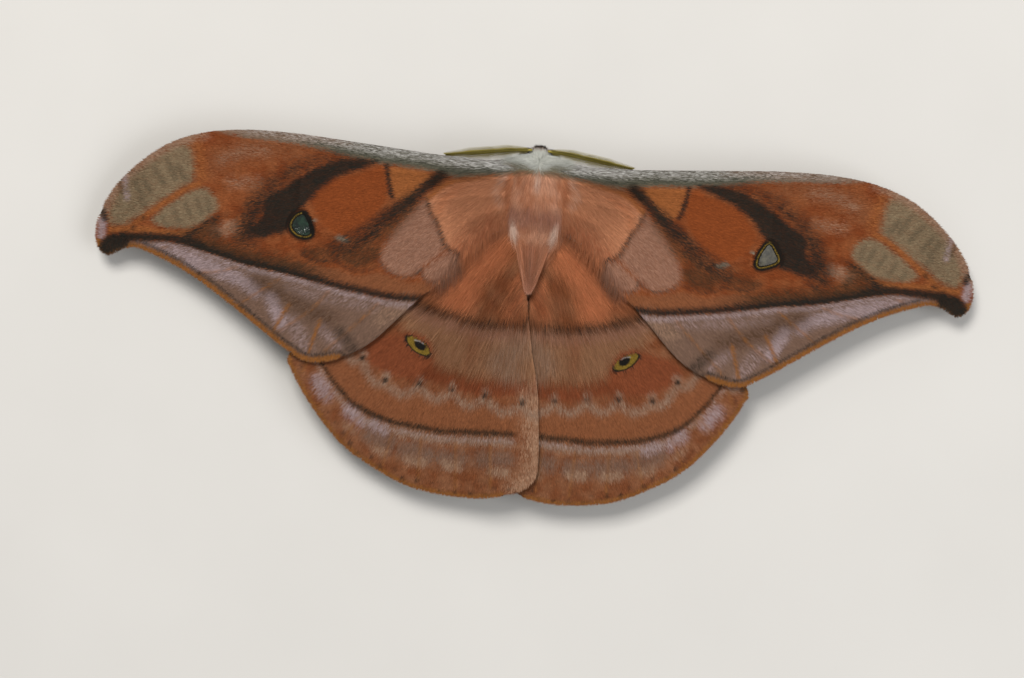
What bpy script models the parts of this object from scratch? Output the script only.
"""A male Copaxa moth at rest with its wings spread flat, life size, in metres.

The head looks along -Y, the left wing lies towards +X and the back looks up. The feet stand at z = 0.
Every shape is first laid out round the thorax, out from the midline, back from the thorax's middle and up
from the floor, and the whole moth is then moved so that the origin is on the floor under its middle."""

import math
import random

import bmesh
import bpy
import numpy as np
from mathutils import Vector
from mathutils.geometry import delaunay_2d_cdt

MM = 0.001

# Room between neighbouring pieces, and how far the thorax stands ahead of the middle of the whole moth
GAP = 0.30 * MM
THORAX_FORWARD = 14.4 * MM

# Sections of the trunk: back, half width, lowest and highest point, all in millimetres
COLLAR_SECTIONS = (
    (-7.9, 1.9, 7.3, 8.9),
    (-7.5, 2.9, 6.0, 9.3),
    (-6.8, 3.5, 3.9, 9.7),
    (-5.9, 3.7, 3.4, 9.8),
)
THORAX_SECTIONS = (
    (-5.6, 3.6, 3.1, 9.8),
    (-4.4, 4.1, 2.5, 10.2),
    (-2.0, 4.3, 2.1, 10.5),
    (1.0, 4.3, 2.1, 10.4),
    (4.0, 3.9, 2.4, 9.5),
    (6.0, 3.3, 2.7, 8.3),
    (7.4, 2.8, 3.0, 7.0),
)
ABDOMEN_SECTIONS = (
    (7.7, 2.7, 2.9, 6.5),
    (9.2, 3.2, 2.0, 6.6),
    (12.0, 3.5, 1.3, 6.6),
    (15.5, 3.5, 1.0, 6.5),
    (19.0, 3.1, 0.9, 6.2),
    (22.2, 2.4, 1.0, 5.5),
    (24.6, 1.5, 1.3, 4.5),
    (26.0, 0.6, 1.9, 3.3),
)
TRUNK_SIDES = 20
RING_COUNT = 7
RING_DEPTH = 0.12 * MM
RING_STEP = 1.3

# Head, tucked under the front of the collar
HEAD_CENTRE = Vector((0.0, -7.65, 5.2)) * MM
HEAD_RADII = Vector((1.7, 1.5, 1.9)) * MM
EYE_RADIUS = 1.3 * MM
EYE_OUT = 1.55 * MM
EYE_UP = 0.1 * MM
PALP_PLACE = Vector((0.55, -0.75, -1.3)) * MM
PALP_WAY = Vector((0.1, -0.3, -0.9))
PALP_LENGTH = 1.5 * MM
PALP_RADIUS = 0.38 * MM

# Wings
WING_THICK = 0.5 * MM
VEIN_THICK = 0.8 * MM
VEIN_HALF_WIDTH = 0.45 * MM
HALF_SPAN = 57.5 * MM
ROOT_HEIGHT = 8.5 * MM
TIP_DROOP = 3.9 * MM
DROOP_POWER = 1.7
HOOK_DROOP = 1.1 * MM
HOOK_START = 50.0 * MM
REAR_SLOPE = 0.03
HIND_STEP = 1.15 * MM
HIND_REAR_DROOP = 1.2 * MM
HIND_REAR_START = 22.0 * MM
HIND_REAR_END = 38.0 * MM
LAP_LIFT = 1.15 * MM
LAP_FLAT = 1.3 * MM
LAP_SLOPE = 6.9 * MM
LEFT_LAP = 3.2
RIGHT_LAP = 0.6
SHEET_STEP = 3.8 * MM
EDGE_STEP = 2.6 * MM
VEIN_STEP = 3.4 * MM
# The least room from the sheet's own points to the margin and to a vein's crest, from a vein's foot to
# another vein, and from a vein to the margin
EDGE_ROOM = 1.9 * MM
CREST_ROOM = 1.7 * MM
FOOT_ROOM = 0.4 * MM
MARGIN_ROOM = 0.3 * MM
MERGE_ROOM = 0.05 * MM

# Outlines in millimetres, out from the midline and back from the thorax's middle. The first point of each
# and its last lie inside the thorax.
FOREWING_OUTLINE = (
    (2.8, -6.2), (7.0, -6.9), (13.0, -7.1), (23.6, -7.9), (32.2, -8.5), (39.5, -8.4), (45.5, -7.2),
    (50.2, -4.7), (54.8, -0.2), (57.1, 4.4), (57.2, 7.9), (55.6, 9.6), (53.1, 8.5), (50.9, 8.5),
    (45.3, 10.8), (40.2, 13.9), (35.0, 17.5), (31.0, 20.2), (28.1, 21.5), (24.2, 20.8), (19.8, 18.3),
    (14.2, 12.4), (10.1, 8.5), (7.6, 5.2), (4.6, 2.4), (2.5, 1.0),
)
HINDWING_OUTLINE = (
    (2.2, 1.6), (6.0, 2.9), (12.0, 5.0), (20.0, 9.5), (27.0, 15.5), (30.8, 20.5), (30.4, 22.8), (27.4, 27.3),
    (23.2, 31.9), (18.0, 35.1), (12.9, 37.1), (6.4, 37.8), (1.5, 37.2),
)
# How much of the lap over the midline the inner margin has at each distance back
INNER_MARGIN = ((0.45, 36.0), (0.95, 34.2), (1.0, 31.1), (0.88, 26.4), (0.7, 22.0), (0.34, 17.0), (0.0, 10.8))
INNER_ROOT = ((0.9, 8.2), (1.2, 5.5))

FOREWING_VEINS = (
    ((4.0, -5.6), (15.0, -5.9), (28.0, -6.6), (38.0, -6.7), (44.5, -5.4), (50.5, -1.8), (55.4, 4.6)),
    ((4.0, -4.4), (15.0, -4.2), (25.0, -4.0), (30.5, -3.2), (37.0, -1.6), (44.0, 0.5), (53.2, 7.2)),
    ((38.0, -6.7), (44.0, -3.6), (49.5, 0.4), (54.6, 6.4)),
    ((30.5, -3.2), (30.6, 0.6), (28.6, 3.8), (25.2, 4.6)),
    ((4.0, -2.6), (12.0, -1.0), (19.5, 2.0), (25.2, 4.6), (31.5, 10.0), (37.6, 14.6)),
    ((30.6, 0.6), (36.0, 3.4), (42.5, 5.6), (48.6, 8.2)),
    ((28.6, 3.8), (34.0, 7.4), (39.4, 10.2), (43.6, 10.9)),
    ((19.5, 2.0), (23.6, 8.6), (28.0, 14.4), (32.6, 18.0)),
    ((4.0, -0.8), (9.5, 2.0), (15.5, 8.4), (21.4, 15.2), (26.0, 19.8)),
)
HINDWING_VEINS = (
    ((3.2, 3.0), (12.0, 7.0), (20.0, 12.6), (26.6, 19.0), (28.9, 22.9)),
    ((3.4, 4.6), (8.6, 9.2), (13.4, 14.2), (15.2, 17.6), (18.4, 23.6), (22.6, 31.0)),
    ((13.4, 14.2), (18.0, 18.4), (22.6, 22.6), (26.4, 27.0)),
    ((15.2, 17.6), (13.4, 19.6), (11.4, 19.0)),
    ((13.4, 19.6), (15.4, 26.0), (17.4, 34.2)),
    ((3.2, 6.2), (7.6, 12.4), (11.4, 19.0), (12.4, 27.4), (12.6, 35.8)),
    ((7.6, 12.4), (7.8, 21.0), (8.0, 29.0), (7.6, 36.4)),
    ((2.0, 8.6), (3.4, 17.0), (3.6, 27.0), (3.0, 36.0)),
)

# The right wings show a little narrower than the left ones, because they slope more
RIGHT_FORE_CHORD = 0.965
RIGHT_FORE_PIVOT = -8.0
RIGHT_HIND_WIDTH = 0.965

# Antennae, from the brow out along the fore edge of the wing, in millimetres
ANTENNA_PATH = ((1.05, -8.5, 6.9), (3.0, -8.35, 7.2), (5.5, -8.0, 7.15), (9.0, -7.5, 6.9), (12.3, -7.05, 6.5))
ANTENNA_RADIUS = 0.27 * MM
ANTENNA_TIP_RADIUS = 0.15 * MM
ANTENNA_STEP = 1.2 * MM
BRANCH_PAIRS = 15
BRANCH_FIRST = 0.2
BRANCH_LAST = 0.97
BRANCH_REACH = 1.6 * MM
BRANCH_BEND = 0.12
BRANCH_RADIUS = 0.25 * MM
BRANCH_TIP_RADIUS = 0.12 * MM
BRANCH_SLANT = math.radians(55)
FEATHER_TILT = math.radians(60)

# Legs: points in millimetres, out, back and up, with the leg's radius at each
FORE_LEG = (
    (1.3, -6.2, 4.2, 0.75), (2.6, -6.1, 2.9, 0.7), (5.6, -5.9, 4.9, 0.55), (7.4, -5.8, 4.7, 0.5),
    (9.4, -5.9, 2.4, 0.5), (10.6, -6.0, 0.75, 0.4), (11.6, -6.1, 0.24, 0.34), (14.2, -6.4, 0.24, 0.32),
)
MIDDLE_LEG = (
    (2.2, -1.5, 3.4, 0.8), (3.6, -1.0, 2.3, 0.7), (8.4, 0.6, 5.1, 0.6), (10.2, 1.2, 4.9, 0.5),
    (12.9, 2.2, 2.6, 0.5), (14.6, 2.9, 0.8, 0.42), (15.8, 3.4, 0.24, 0.34), (18.6, 4.6, 0.24, 0.32),
)
HIND_LEG = (
    (2.0, 3.4, 3.6, 0.8), (3.4, 4.6, 2.3, 0.7), (6.8, 8.4, 4.9, 0.6), (8.0, 10.0, 4.7, 0.5),
    (9.8, 13.0, 2.5, 0.5), (10.8, 15.0, 0.8, 0.42), (11.4, 16.2, 0.24, 0.34), (12.8, 19.0, 0.24, 0.32),
)
LEG_STEP = 1.6 * MM

# Claws and spurs start inside the leg, a little apart, so that the two of a pair don't meet
CLAW_LENGTH = 1.2 * MM
CLAW_RADIUS = 0.22 * MM
CLAW_SPREAD = math.radians(24)
CLAW_SINK = 0.45 * MM
CLAW_APART = 0.13 * MM
CLAW_RISE = 0.12 * MM
CLAW_DROP = 0.18 * MM
SPUR_LENGTH = 1.3 * MM
SPUR_RADIUS = 0.26 * MM
SPUR_SINK = 0.9 * MM
SPUR_APART = 0.17 * MM
SPUR_SPLAY = (0.45, 0.25)

# Long locks of hair: half width and half thickness in the middle, and how deep the root sits
LOCK_HALF_WIDTH = 0.62 * MM
LOCK_HALF_THICK = 0.27 * MM
LOCK_SINK = 0.45 * MM
LOCK_SET_BACK = 0.4 * MM
LOCK_RISE = 0.2 * MM
LOCK_LIFT = 9.45 * MM
# The hair on the back runs together to a point behind the thorax: roots by row, out and back, in millimetres
BACK_ROOTS = ((0.0, 1.4), (1.5, 1.6), (2.7, 1.2), (0.75, 3.2), (2.0, 3.0), (0.0, 4.6), (1.2, 4.5))
BACK_POINT = 10.0
BACK_DRAW = 0.62
# How much shorter a back lock is for each millimetre that its root is from the midline, and from ROOT_REAR
SIDE_SHORTER = 0.95
FRONT_SHORTER = 0.25
ROOT_REAR = 5.0
UNEVEN = 0.4
# The flap of hair over each forewing's root: out and back of each lock's root and tip
SHOULDER_LOCKS = (((2.1, -5.0), (5.6, -1.8)), ((2.5, -3.7), (5.6, 0.4)), ((2.7, -1.9), (5.2, 2.8)))
COLLAR_LOCKS = (((1.5, -7.0), (4.7, -7.4)), ((1.7, -6.4), (5.3, -6.5)))
SHOULDER_LIFT = 9.72 * MM
SHOULDER_WIDTH = 1.15
COLLAR_WIDTH = 0.8

WELD = 0.002 * MM
SHARP_ANGLE = math.radians(50)
FLOOR_WIDTH = 80 * MM
FLOOR_DEPTH = 4 * MM


def clear_scene():
    for obj in list(bpy.data.objects):
        bpy.data.objects.remove(obj, do_unlink=True)


def new_collection(name):
    collection = bpy.data.collections.new(name)
    bpy.context.scene.collection.children.link(collection)
    return collection


def new_material(name, colour, roughness):
    material = bpy.data.materials.new(name)
    material.use_nodes = True
    shader = material.node_tree.nodes["Principled BSDF"]
    shader.inputs["Base Color"].default_value = (*colour, 1.0)
    shader.inputs["Roughness"].default_value = roughness
    shader.inputs["Metallic"].default_value = 0.0
    return material


clear_scene()
MOTH = new_collection("copaxa_moth")
CUTTERS = new_collection("cutters")
CUTTERS.hide_render = True

MIDDLE = bpy.data.objects.new("moth_middle", None)
MIDDLE.location = (0.0, -THORAX_FORWARD, 0.0)
MOTH.objects.link(MIDDLE)
bpy.context.view_layer.update()


def mesh_object(name, bm, collection=None):
    """An object of the bmesh, carried by the moth's middle."""
    mesh = bpy.data.meshes.new(name)
    bm.to_mesh(mesh)
    bm.free()
    obj = bpy.data.objects.new(name, mesh)
    obj.parent = MIDDLE
    (collection or MOTH).objects.link(obj)
    return obj


def finish(obj, material):
    obj.data.materials.clear()
    obj.data.materials.append(material)
    obj.data.shade_smooth()
    obj.data.set_sharp_from_angle(angle=SHARP_ANGLE)
    return obj


def as_cutter(obj):
    for collection in list(obj.users_collection):
        collection.objects.unlink(obj)
    CUTTERS.objects.link(obj)
    obj.hide_render = True
    obj.display_type = "WIRE"
    return obj


def smooth_path(points, step, closed=False):
    """Points about a step apart on a smooth curve through the given ones."""
    points = np.array(points, float)
    count = len(points)
    spans = count if closed else count - 1
    found = []
    for i in range(spans):
        if closed:
            four = [points[(i + k) % count] for k in (-1, 0, 1, 2)]
        else:
            four = [points[min(max(i + k, 0), count - 1)] for k in (-1, 0, 1, 2)]
        before, start, end, after = four
        pieces = max(1, round(float(np.linalg.norm(end - start)) / step))
        for k in range(pieces):
            t = k / pieces
            turn = (end - before) * t + (2 * before - 5 * start + 4 * end - after) * t**2
            turn += (3 * start - before - 3 * end + after) * t**3
            found.append(start + turn / 2)
    if not closed:
        found.append(points[-1])
    return np.array(found)


def loft(name, sections, grow=0.0, sides=TRUNK_SIDES, collection=None):
    """A body of oval sections along Y, grown by a margin all round where it is to be a cutter."""
    bm = bmesh.new()
    rings = []
    last = len(sections) - 1
    for i, (back, half_width, low, high) in enumerate(sections):
        y = back * MM + (-grow if i == 0 else grow if i == last else 0.0)
        half_height = (high - low) / 2 * MM + grow
        centre = (high + low) / 2 * MM
        ring = []
        for k in range(sides):
            turn = 2 * math.pi * k / sides
            x = (half_width * MM + grow) * math.cos(turn)
            ring.append(bm.verts.new((x, y, centre + half_height * math.sin(turn))))
        rings.append(ring)
    for front, rear in zip(rings, rings[1:]):
        for k in range(sides):
            n = (k + 1) % sides
            bm.faces.new((front[k], front[n], rear[n], rear[k]))
    bm.faces.new(rings[0])
    bm.faces.new(rings[-1])
    bmesh.ops.recalc_face_normals(bm, faces=bm.faces)
    return mesh_object(name, bm, collection)


def ball(name, centre, radii, collection=None, segments=20, rings=12):
    bm = bmesh.new()
    bmesh.ops.create_uvsphere(bm, u_segments=segments, v_segments=rings, radius=1.0)
    bmesh.ops.scale(bm, vec=radii, verts=bm.verts)
    bmesh.ops.translate(bm, vec=centre, verts=bm.verts)
    return mesh_object(name, bm, collection)


def eyeball(name, side, grow=0.0):
    centre = HEAD_CENTRE + Vector((side * EYE_OUT, 0.0, EYE_UP))
    return ball(name, centre, (EYE_RADIUS + grow,) * 3)


def tube(name, path, radii, collection=None):
    """A round rod along the path, as a closed mesh."""
    curve = bpy.data.curves.new(name, "CURVE")
    curve.dimensions = "3D"
    curve.bevel_depth = 1.0 * MM
    curve.bevel_resolution = 2
    curve.use_fill_caps = True
    spline = curve.splines.new("POLY")
    spline.points.add(len(path) - 1)
    for point, place, radius in zip(spline.points, path, radii):
        point.co = (*place, 1.0)
        point.radius = radius / curve.bevel_depth
    holder = bpy.data.objects.new(name + "_path", curve)
    MOTH.objects.link(holder)
    graph = bpy.context.evaluated_depsgraph_get()
    mesh = bpy.data.meshes.new_from_object(holder.evaluated_get(graph))
    bm = bmesh.new()
    bm.from_mesh(mesh)
    bmesh.ops.remove_doubles(bm, verts=bm.verts, dist=WELD)
    bmesh.ops.recalc_face_normals(bm, faces=bm.faces)
    bpy.data.meshes.remove(mesh)
    bpy.data.objects.remove(holder)
    bpy.data.curves.remove(curve)
    return mesh_object(name, bm, collection)


def apply_modifiers(obj):
    graph = bpy.context.evaluated_depsgraph_get()
    mesh = bpy.data.meshes.new_from_object(obj.evaluated_get(graph))
    old = obj.data
    obj.modifiers.clear()
    obj.data = mesh
    bpy.data.meshes.remove(old)


def keep_largest(obj):
    """Only the largest closed surface of the mesh stays."""
    bm = bmesh.new()
    bm.from_mesh(obj.data)
    left = set(bm.verts)
    groups = []
    while left:
        group, front = set(), [left.pop()]
        while front:
            vert = front.pop()
            group.add(vert)
            for edge in vert.link_edges:
                other = edge.other_vert(vert)
                if other in left:
                    left.discard(other)
                    front.append(other)
        groups.append(group)
    groups.sort(key=len, reverse=True)
    scraps = [vert for group in groups[1:] for vert in group]
    bmesh.ops.delete(bm, geom=scraps, context="VERTS")
    bm.to_mesh(obj.data)
    bm.free()


def cut(obj, *cutters):
    for cutter in cutters:
        modifier = obj.modifiers.new("clear of " + cutter.name, "BOOLEAN")
        modifier.operation = "DIFFERENCE"
        modifier.solver = "EXACT"
        modifier.object = cutter
    apply_modifiers(obj)
    keep_largest(obj)
    return obj


def spike(path, half_widths, half_thicks, up, collection):
    """A lock or thorn: four-sided along the path, and pointed at its last point."""
    bm = bmesh.new()
    path = [Vector(place) for place in path]
    rings = []
    for k, (place, wide, thick) in enumerate(zip(path[:-1], half_widths, half_thicks)):
        along = (path[k + 1] - path[max(k - 1, 0)]).normalized()
        across = along.cross(up).normalized()
        rise = across.cross(along)
        corners = (across * wide, rise * thick, -across * wide, -rise * thick)
        rings.append([bm.verts.new(place + corner) for corner in corners])
    for near, far in zip(rings, rings[1:]):
        for k in range(4):
            n = (k + 1) % 4
            bm.faces.new((near[k], near[n], far[n], far[k]))
    tip = bm.verts.new(path[-1])
    for k in range(4):
        bm.faces.new((rings[-1][k], rings[-1][(k + 1) % 4], tip))
    bm.faces.new(rings[0])
    bmesh.ops.triangulate(bm, faces=bm.faces)
    bmesh.ops.recalc_face_normals(bm, faces=bm.faces)
    return mesh_object("spike", bm, collection)


def fuse(obj, pieces):
    """The object and the pieces in the collection as one closed body."""
    modifier = obj.modifiers.new("fused", "BOOLEAN")
    modifier.operation = "UNION"
    modifier.solver = "EXACT"
    modifier.operand_type = "COLLECTION"
    modifier.collection = pieces
    apply_modifiers(obj)
    for piece in list(pieces.objects):
        bpy.data.objects.remove(piece, do_unlink=True)
    bpy.data.collections.remove(pieces)
    keep_largest(obj)
    return obj


def smoothstep(value):
    value = np.clip(value, 0.0, 1.0)
    return value * value * (3 - 2 * value)


def forewing_height(out, back):
    """How high the middle of the forewing lies: highest at the thorax, drooping to the tip and the rear."""
    share = np.clip(out / HALF_SPAN, 0.0, None)
    hook = smoothstep((out - HOOK_START) / (HALF_SPAN - HOOK_START))
    return ROOT_HEIGHT - TIP_DROOP * share**DROOP_POWER - HOOK_DROOP * hook - REAR_SLOPE * back


def hindwing_height(out, back, lift):
    """The hindwing lies a step below the forewing, and the left one rises over the right at the midline."""
    rear = np.clip((back - HIND_REAR_START) / (HIND_REAR_END - HIND_REAR_START), 0.0, None)
    level = forewing_height(np.abs(out), back) - HIND_STEP - HIND_REAR_DROOP * rear**2
    return level + lift * (1 - smoothstep((out - LAP_FLAT) / LAP_SLOPE))


def inside(points, loop):
    """Whether each point is inside the loop."""
    x, y = points[:, 0][:, None], points[:, 1][:, None]
    start, end = loop, np.roll(loop, -1, axis=0)
    straddles = (start[:, 1] > y) != (end[:, 1] > y)
    rise = np.where(end[:, 1] == start[:, 1], 1.0, end[:, 1] - start[:, 1])
    crossing = start[:, 0] + (y - start[:, 1]) * (end[:, 0] - start[:, 0]) / rise
    return (straddles & (x < crossing)).sum(axis=1) % 2 == 1


def distance(points, path):
    """How far each point is from the path."""
    start, end = path[:-1], path[1:]
    along = end - start
    offset = points[:, None, :] - start
    share = (offset * along).sum(axis=2) / np.maximum((along**2).sum(axis=1), 1e-18)
    nearest = start + np.clip(share, 0.0, 1.0)[..., None] * along
    return np.linalg.norm(points[:, None, :] - nearest, axis=2).min(axis=1)


def beside(path, offset):
    """The path moved sideways, without its ends, which lie in other veins or at the margin."""
    along = np.gradient(path, axis=0)
    along /= np.linalg.norm(along, axis=1)[:, None]
    return (path + offset * np.column_stack([-along[:, 1], along[:, 0]]))[1:-1]


def wing_sheet(outline, veins):
    """The wing's plan as triangles: the outline, each vein's crest and two feet, and points between them."""
    edge = smooth_path(outline, EDGE_STEP, closed=True)
    crests = [smooth_path(vein, VEIN_STEP) for vein in veins]
    lines = list(crests)
    for crest in crests:
        for offset in (-VEIN_HALF_WIDTH, VEIN_HALF_WIDTH):
            foot = beside(crest, offset)
            others = [other for other in crests if other is not crest]
            clear = np.min([distance(foot, other) for other in others], axis=0) > FOOT_ROOM
            lines.append(foot[clear])
    low, high = edge.min(axis=0), edge.max(axis=0)
    rows = []
    row_height = SHEET_STEP * math.sqrt(3) / 2
    for j in range(int((high[1] - low[1]) / row_height) + 1):
        shift = SHEET_STEP / 2 * (j % 2)
        for i in range(int((high[0] - low[0]) / SHEET_STEP) + 1):
            rows.append((low[0] + shift + i * SHEET_STEP, low[1] + j * row_height))
    between = np.array(rows)
    between = between[inside(between, edge)]
    rim = np.vstack([edge, edge[:1]])
    between = between[distance(between, rim) > EDGE_ROOM]
    for crest in crests:
        between = between[distance(between, crest) > CREST_ROOM]
    points = [Vector(p) for p in edge]
    edges = []
    for line in lines:
        line = line[inside(line, edge)]
        line = line[distance(line, rim) > MARGIN_ROOM] if len(line) else line
        first = len(points)
        points += [Vector(p) for p in line]
        edges += [(first + k, first + k + 1) for k in range(len(line) - 1)]
    points += [Vector(p) for p in between]
    face = list(range(len(edge)))
    found = delaunay_2d_cdt(points, edges, [face], 1, MERGE_ROOM)
    return np.array([tuple(p) for p in found[0]]), found[2], crests


def wing(name, outline, veins, height, material, side, cutters):
    """A membrane of one thickness, thicker along its veins, cut clear of the trunk."""
    outline = np.array(outline) * MM
    veins = [np.array(vein) * MM for vein in veins]
    plan, faces, crests = wing_sheet(outline, veins)
    up = height(plan[:, 0], plan[:, 1])
    near = np.min([distance(plan, crest) for crest in crests], axis=0)
    weight = np.clip(1 - near / (0.8 * VEIN_HALF_WIDTH), 0.0, 1.0)
    bm = bmesh.new()
    verts = [bm.verts.new((side * x, y, z)) for (x, y), z in zip(plan, up)]
    for face in faces:
        bm.faces.new([verts[k] for k in face])
    bm.normal_update()
    if sum(face.normal.z for face in bm.faces) < 0:
        bmesh.ops.reverse_faces(bm, faces=bm.faces)
    bmesh.ops.triangulate(bm, faces=bm.faces)
    obj = mesh_object(name, bm)
    group = obj.vertex_groups.new(name="veins")
    for index, value in enumerate(weight):
        group.add([index], float(value), "REPLACE")
    shell = obj.modifiers.new("membrane", "SOLIDIFY")
    shell.thickness = VEIN_THICK
    shell.offset = 0.0
    shell.vertex_group = "veins"
    shell.thickness_vertex_group = WING_THICK / VEIN_THICK
    shell.use_rim = True
    cut(obj, *cutters)
    return finish(obj, material)


def hindwing_outline(lap):
    margin = [(-share * lap, back) for share, back in INNER_MARGIN]
    return np.array(list(HINDWING_OUTLINE) + margin + list(INNER_ROOT))


def narrowed(points):
    """The right forewing's plan, less deep behind its fore edge than the left one."""
    points = np.array(points, float)
    points[:, 1] = RIGHT_FORE_PIVOT + (points[:, 1] - RIGHT_FORE_PIVOT) * RIGHT_FORE_CHORD
    return points


def drawn_in(points):
    points = np.array(points, float)
    points[:, 0] *= np.where(points[:, 0] > 0, RIGHT_HIND_WIDTH, 1.0)
    return points


def make_wings(cutters):
    fore = new_material("forewing_scales", (0.42, 0.13, 0.05), 0.85)
    hind = new_material("hindwing_scales", (0.45, 0.15, 0.07), 0.85)
    wing("forewing_left", FOREWING_OUTLINE, FOREWING_VEINS, forewing_height, fore, 1, cutters)
    veins = [narrowed(vein) for vein in FOREWING_VEINS]
    wing("forewing_right", narrowed(FOREWING_OUTLINE), veins, forewing_height, fore, -1, cutters)

    def over(out, back):
        return hindwing_height(out, back, LAP_LIFT)

    def under(out, back):
        return hindwing_height(out, back, 0.0)

    wing("hindwing_left", hindwing_outline(LEFT_LAP), HINDWING_VEINS, over, hind, 1, cutters)
    veins = [drawn_in(vein) for vein in HINDWING_VEINS]
    wing("hindwing_right", drawn_in(hindwing_outline(RIGHT_LAP)), veins, under, hind, -1, cutters)


def top_of(sections, out, back):
    """The height of a trunk section's upper side."""
    rows = np.array(sections)
    half_width, low, high = (float(np.interp(back / MM, rows[:, 0], rows[:, k])) * MM for k in (1, 2, 3))
    share = min(abs(out) / half_width, 0.98)
    return (high + low) / 2 + (high - low) / 2 * math.sqrt(1 - share * share)


def hair_lock(sections, root, tip, lift, width, collection):
    """A flat tapered lock that leaves the trunk at its root and ends at the tip, no lower than the lift."""
    root, tip = Vector((*root, 0.0)), Vector((*tip, 0.0))
    along = (tip - root).normalized()
    surface = top_of(sections, root.x, root.y)
    start = root - along * LOCK_SET_BACK
    start.z = surface - LOCK_SINK
    path = [start]
    for share in (0.18, 0.5, 0.8, 1.0):
        place = root.lerp(tip, share)
        place.z = max(lift, surface + LOCK_RISE + (lift - surface - LOCK_RISE) * share)
        path.append(place)
    wide = [width * part for part in (0.6, 1.0, 1.0, 0.62)]
    thick = [LOCK_HALF_THICK * part for part in (1.2, 1.0, 0.95, 0.85)]
    return spike(path, wide, thick, Vector((0.0, 0.0, 1.0)), collection)


def back_locks(thorax):
    locks = new_collection("back_locks")
    draw = random.Random(4)
    for out, back in BACK_ROOTS:
        for side in (1, -1) if out else (1,):
            root = (side * out * MM, back * MM)
            tip_out = side * out * (1 - BACK_DRAW) * MM
            reach = BACK_POINT - SIDE_SHORTER * out - FRONT_SHORTER * (ROOT_REAR - back)
            reach -= draw.uniform(0.0, UNEVEN)
            hair_lock(THORAX_SECTIONS, root, (tip_out, reach * MM), LOCK_LIFT, LOCK_HALF_WIDTH, locks)
    for side in (1, -1):
        for (out, back), (far, rear) in SHOULDER_LOCKS:
            root, tip = (side * out * MM, back * MM), (side * far * MM, rear * MM)
            hair_lock(THORAX_SECTIONS, root, tip, SHOULDER_LIFT, SHOULDER_WIDTH * LOCK_HALF_WIDTH, locks)
    return fuse(thorax, locks)


def collar_locks(collar):
    locks = new_collection("collar_locks")
    for side in (1, -1):
        for (out, back), (far, rear) in COLLAR_LOCKS:
            root, tip = (side * out * MM, back * MM), (side * far * MM, rear * MM)
            hair_lock(COLLAR_SECTIONS, root, tip, SHOULDER_LIFT, COLLAR_WIDTH * LOCK_HALF_WIDTH, locks)
    return fuse(collar, locks)


def make_trunk():
    orange = new_material("thorax_hair", (0.50, 0.19, 0.08), 0.9)
    cream = new_material("collar_hair", (0.62, 0.56, 0.48), 0.9)
    rust = new_material("abdomen_hair", (0.45, 0.2, 0.1), 0.9)
    finish(back_locks(loft("thorax", THORAX_SECTIONS)), orange)
    collar = loft("collar", COLLAR_SECTIONS)
    room = as_cutter(ball("head_room", HEAD_CENTRE, HEAD_RADII + Vector((GAP,) * 3)))
    collar_locks(collar)
    cut(collar, room, *(as_cutter(eyeball(f"eye_room_{side}", side, GAP)) for side in (1, -1)))
    finish(collar, cream)
    rings = []
    sections = smooth_path(ABDOMEN_SECTIONS, RING_STEP)
    first, last = sections[0][0], sections[-1][0]
    for back, half_width, low, high in sections:
        share = (back - first) / (last - first) * RING_COUNT
        pinch = RING_DEPTH / MM * (0.5 + 0.5 * math.cos(2 * math.pi * share))
        rings.append((back, half_width - pinch, low + pinch, high - pinch))
    finish(loft("abdomen", rings), rust)
    thorax_room = as_cutter(loft("thorax_room", THORAX_SECTIONS, GAP))
    collar_room = as_cutter(loft("collar_room", COLLAR_SECTIONS, GAP))
    return room, thorax_room, collar_room


def make_head(room):
    brown = new_material("face_hair", (0.30, 0.22, 0.15), 0.9)
    dark = new_material("eye", (0.02, 0.015, 0.012), 0.2)
    tan = new_material("palp_hair", (0.35, 0.2, 0.12), 0.9)
    finish(ball("head", HEAD_CENTRE, HEAD_RADII), brown)
    for side, word in ((1, "left"), (-1, "right")):
        eye = eyeball("eye_" + word, side)
        cut(eye, room)
        finish(eye, dark)
        mirror = Vector((side, 1, 1))
        start = HEAD_CENTRE + PALP_PLACE * mirror
        way = (PALP_WAY * mirror).normalized()
        path = [start + way * PALP_LENGTH * share for share in (0.0, 0.45, 0.8, 1.0)]
        palp = tube("palp_" + word, path, [PALP_RADIUS * share for share in (1.0, 1.0, 0.8, 0.45)])
        cut(palp, room)
        finish(palp, tan)


def branch_reach(share):
    """The branches are longest in the middle of the shaft and shortest at its tip."""
    swell = math.sin(math.pi * min(1.0, 0.18 + 0.9 * share)) ** 0.7
    return BRANCH_REACH * (0.45 + 0.55 * swell) * (1 - 0.45 * share**4)


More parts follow.
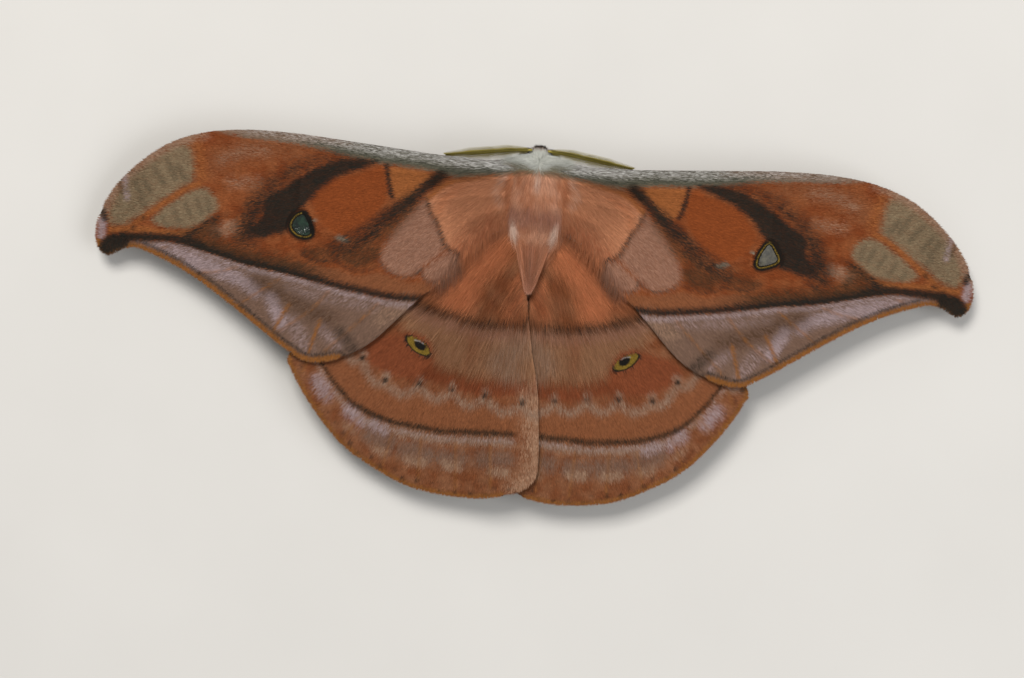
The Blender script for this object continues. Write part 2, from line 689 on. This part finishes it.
def make_antenna(word, side, material):
    """A tapering shaft with a row of branches before and behind, tilted like a roof over the brow."""
    path = smooth_path(np.array(ANTENNA_PATH) * MM * (side, 1, 1), ANTENNA_STEP)
    count = len(path)
    radii = [ANTENNA_RADIUS + (ANTENNA_TIP_RADIUS - ANTENNA_RADIUS) * k / (count - 1) for k in range(count)]
    shaft = tube("antenna_" + word, path, radii)
    branches = new_collection("antenna_branches")
    fine = smooth_path(path, 0.1 * MM)
    forward = Vector((0.0, -math.cos(FEATHER_TILT), math.sin(FEATHER_TILT)))
    for pair in range(BRANCH_PAIRS):
        share = BRANCH_FIRST + (BRANCH_LAST - BRANCH_FIRST) * pair / (BRANCH_PAIRS - 1)
        index = min(int(share * (len(fine) - 1)), len(fine) - 2)
        root = Vector(fine[index])
        along = Vector(fine[index + 1] - fine[index]).normalized()
        reach = branch_reach(share)
        for way in (forward, -forward):
            out = (way * math.sin(BRANCH_SLANT) + along * math.cos(BRANCH_SLANT)).normalized()
            bend = root + out * reach * 0.6
            tip = root + out * reach + along * reach * BRANCH_BEND
            sizes = (BRANCH_RADIUS, BRANCH_TIP_RADIUS + 0.5 * (BRANCH_RADIUS - BRANCH_TIP_RADIUS))
            spike((root, bend, tip), sizes, sizes, Vector((0.0, 0.0, 1.0)), branches)
    return finish(fuse(shaft, branches), material)


def make_leg(name, points, side, material, cutters):
    """Hip, thigh, shin and foot as one bent rod, with spurs at the end of the shin and a pair of claws."""
    rows = smooth_path(np.array(points) * MM, LEG_STEP)
    rows[:, 0] *= side
    leg = cut(tube(name, rows[:, :3], rows[:, 3]), *cutters)
    thorns = new_collection(name + "_thorns")
    up = Vector((0.0, 0.0, 1.0))
    toe = Vector(rows[-1, :3])
    ahead = Vector(rows[-1, :3] - rows[-2, :3])
    ahead.z = 0.0
    ahead.normalize()
    across = ahead.cross(up)
    for hand in (1, -1):
        way = ahead * math.cos(CLAW_SPREAD) + across * hand * math.sin(CLAW_SPREAD)
        start = toe - ahead * CLAW_SINK + across * hand * CLAW_APART + up * (0.07 + 0.02 * hand) * MM
        bend = start + way * 0.5 * CLAW_LENGTH + up * CLAW_RISE
        tip = start + way * CLAW_LENGTH - up * CLAW_DROP
        sizes = (CLAW_RADIUS, 0.75 * CLAW_RADIUS)
        spike((start, bend, tip), sizes, sizes, up, thorns)
    ankle = Vector([point * MM for point in points[-3][:3]])
    shin = (ankle - Vector([point * MM for point in points[-4][:3]])).normalized()
    for hand in (1, -1):
        way = (shin + Vector((0.0, hand * SPUR_SPLAY[0], SPUR_SPLAY[1]))).normalized()
        start = ankle - shin * SPUR_SINK + Vector((0.0, hand, 0.2 * hand)) * SPUR_APART
        middle = start + way * 0.55 * SPUR_LENGTH
        path = [Vector((side * p.x, p.y, p.z)) for p in (start, middle, start + way * SPUR_LENGTH)]
        sizes = (SPUR_RADIUS, 0.7 * SPUR_RADIUS)
        spike(path, sizes, sizes, up, thorns)
    return finish(fuse(leg, thorns), material)


def make_limbs(cutters):
    olive = new_material("antenna", (0.25, 0.16, 0.04), 0.6)
    rusty = new_material("leg_hair", (0.40, 0.2, 0.12), 0.9)
    for side, word in ((1, "left"), (-1, "right")):
        make_antenna(word, side, olive)
        for name, points in (("foreleg", FORE_LEG), ("middle_leg", MIDDLE_LEG), ("hindleg", HIND_LEG)):
            make_leg(f"{name}_{word}", points, side, rusty, cutters)


def make_floor_cutter():
    bm = bmesh.new()
    bmesh.ops.create_cube(bm, size=1.0)
    bmesh.ops.scale(bm, vec=(FLOOR_WIDTH, FLOOR_WIDTH, FLOOR_DEPTH), verts=bm.verts)
    bmesh.ops.translate(bm, vec=(0.0, 0.0, -FLOOR_DEPTH / 2), verts=bm.verts)
    return as_cutter(mesh_object("floor_room", bm))


def main():
    head_room, thorax_room, collar_room = make_trunk()
    make_head(head_room)
    make_wings((thorax_room, collar_room))
    make_limbs((thorax_room, collar_room, head_room, make_floor_cutter()))


main()
